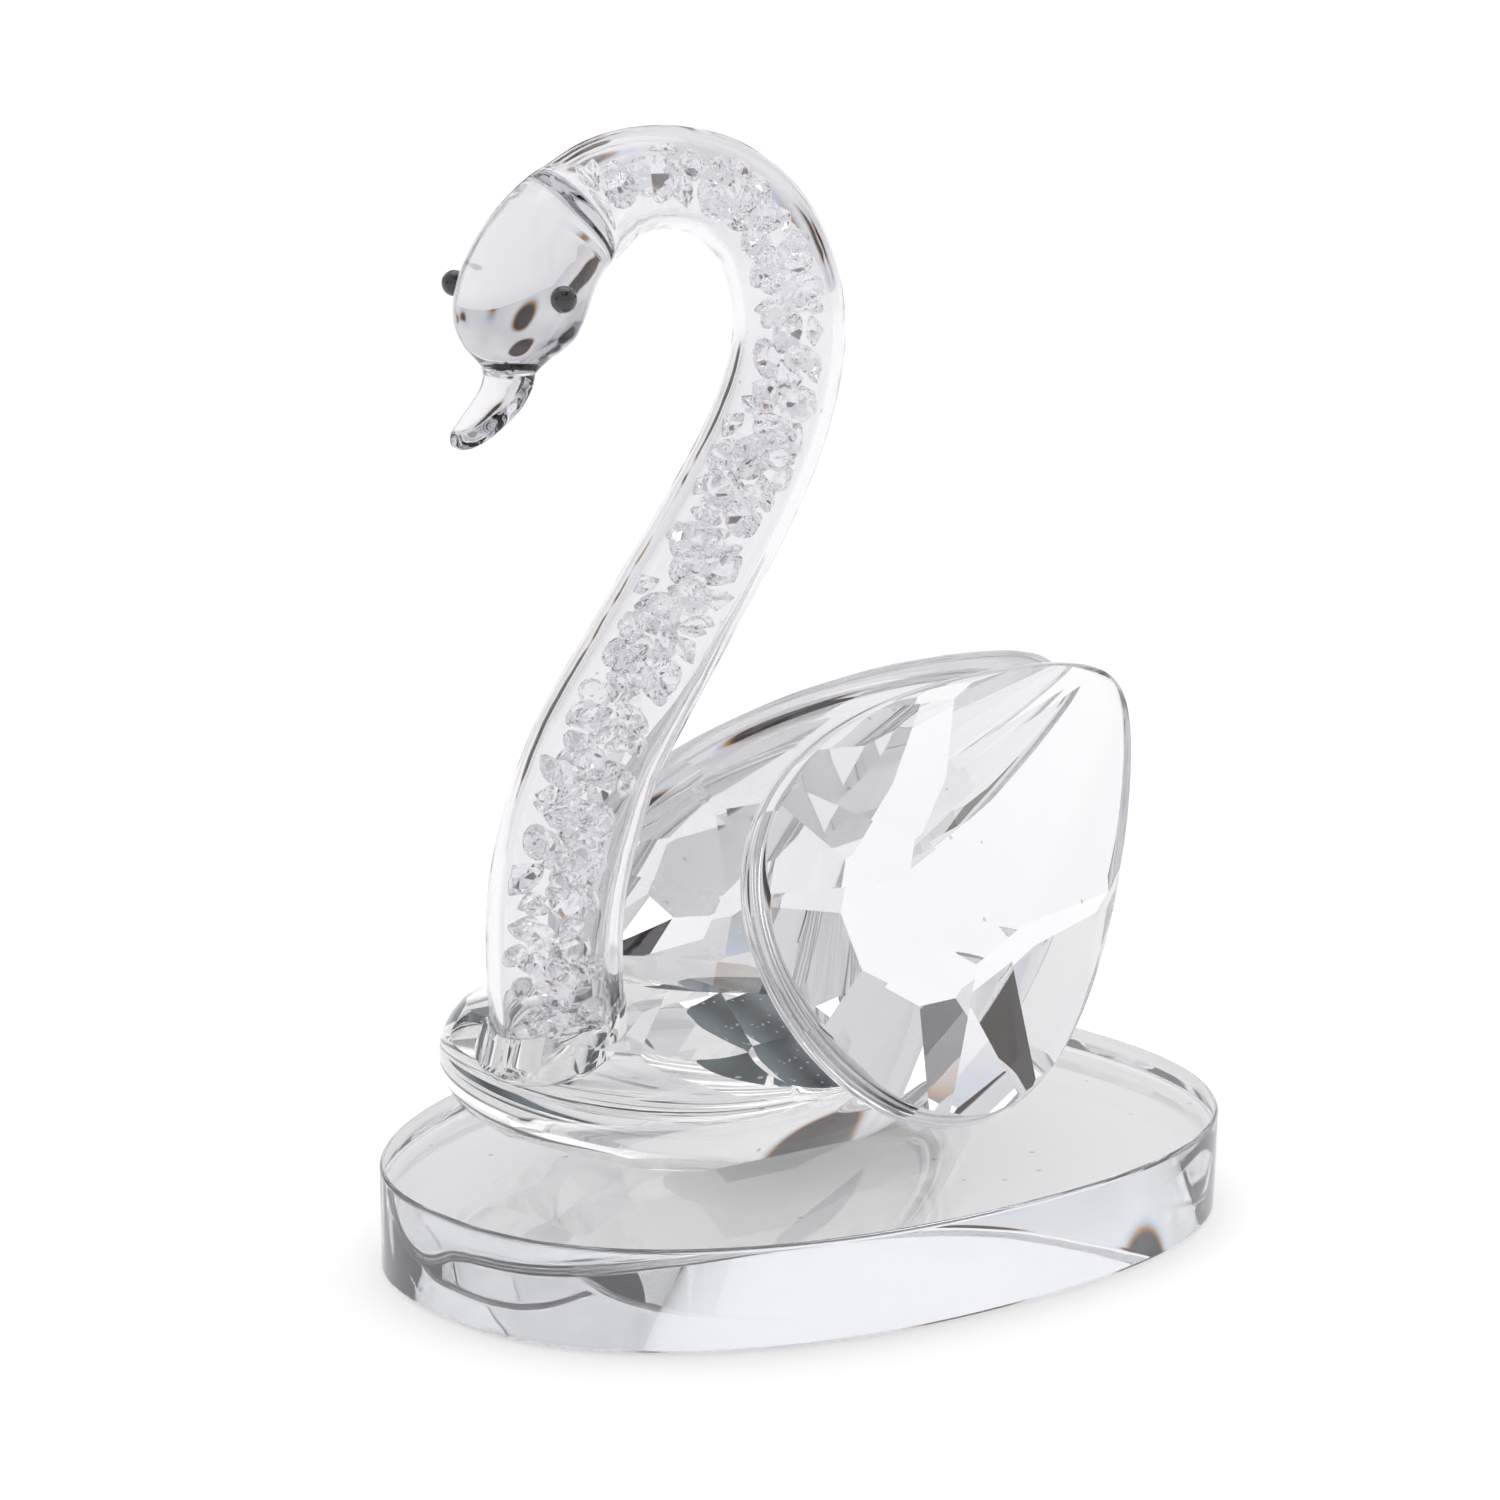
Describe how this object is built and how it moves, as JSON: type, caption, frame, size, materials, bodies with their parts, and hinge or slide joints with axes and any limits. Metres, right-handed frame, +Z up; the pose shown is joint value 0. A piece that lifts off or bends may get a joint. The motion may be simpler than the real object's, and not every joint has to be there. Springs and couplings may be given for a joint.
{
  "type": "crystal glass swan figurine",
  "caption": "Clear crystal swan ornament on an oval glass plinth, with pear-cut wings and body and a curved hollow neck packed with loose cut stones.",
  "frame": {"origin": "centre of the underside of the oval plinth, on the surface it rests on", "axes": "+Z up, the swan faces -Y along the plinth's long axis, +X is the swan's left"},
  "size_m": [0.074, 0.1, 0.1213],
  "materials": {
    "plinth_glass": "polished clear glass with a faint cool tint",
    "crystal_glass": "polished faceted clear crystal",
    "tube_glass": "fire-polished clear lampworked glass",
    "stone_glass": "small faceted clear cut stones",
    "black_glass": "opaque black glass bead, glossy",
    "clear_adhesive": "cured clear adhesive with tiny bubbles and a faint blue-green tint"
  },
  "bodies": {
    "root": {"base_plate": "plinth_glass", "body_crystal": "crystal_glass", "left_wing": "crystal_glass", "right_wing": "crystal_glass", "neck_tube": "tube_glass", "foot_cap": "tube_glass", "head": "tube_glass", "beak": "tube_glass", "left_eye": "black_glass", "right_eye": "black_glass", "body_adhesive": "clear_adhesive", "seat_adhesive": "clear_adhesive", "stone_01": "stone_glass", "stone_02": "stone_glass", "stone_03": "stone_glass", "stone_04": "stone_glass", "stone_05": "stone_glass", "stone_06": "stone_glass", "stone_07": "stone_glass", "stone_08": "stone_glass", "stone_09": "stone_glass", "stone_10": "stone_glass", "stone_11": "stone_glass", "stone_12": "stone_glass", "stone_13": "stone_glass", "stone_14": "stone_glass", "stone_15": "stone_glass", "stone_16": "stone_glass", "stone_17": "stone_glass", "stone_18": "stone_glass", "stone_19": "stone_glass", "stone_20": "stone_glass", "stone_21": "stone_glass", "stone_22": "stone_glass", "stone_23": "stone_glass", "stone_24": "stone_glass", "stone_25": "stone_glass", "stone_26": "stone_glass", "stone_27": "stone_glass", "stone_28": "stone_glass", "stone_29": "stone_glass", "stone_30": "stone_glass", "stone_31": "stone_glass", "stone_32": "stone_glass", "stone_33": "stone_glass", "stone_34": "stone_glass", "stone_35": "stone_glass", "stone_36": "stone_glass", "stone_37": "stone_glass", "stone_38": "stone_glass", "stone_39": "stone_glass", "stone_40": "stone_glass", "stone_41": "stone_glass", "stone_42": "stone_glass", "stone_43": "stone_glass", "stone_44": "stone_glass", "stone_45": "stone_glass", "stone_46": "stone_glass"}
  },
  "joints": []
}
